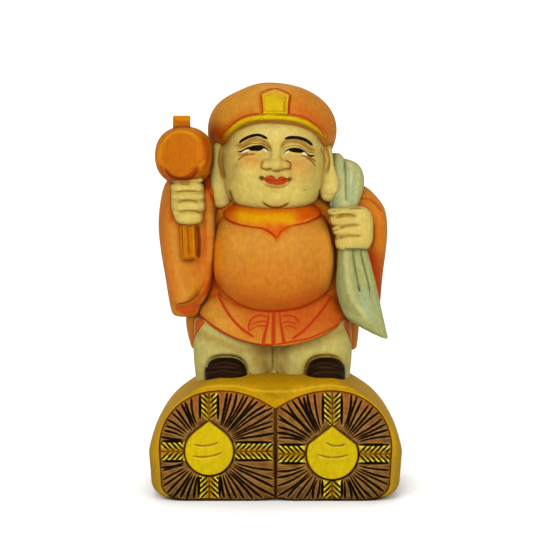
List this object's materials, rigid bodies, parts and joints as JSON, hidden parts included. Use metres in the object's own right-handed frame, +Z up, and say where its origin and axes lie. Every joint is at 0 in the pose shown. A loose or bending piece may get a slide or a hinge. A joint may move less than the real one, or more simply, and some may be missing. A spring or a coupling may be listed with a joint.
{
  "type": "daikoku figure",
  "caption": "Small painted wood carving of the lucky god Daikoku on two rice bales, with a raised mallet and a sack over his shoulder.",
  "frame": {"origin": "centre of the flat underside of the rice bales", "axes": "+Z up, the figure faces -Y, +X towards his left hand, which holds the sack"},
  "size_m": [0.0742, 0.0475, 0.1204],
  "materials": {
    "painted_wood": "satin"
  },
  "bodies": {
    "root": {"daikoku_figure": "painted_wood"}
  },
  "joints": []
}
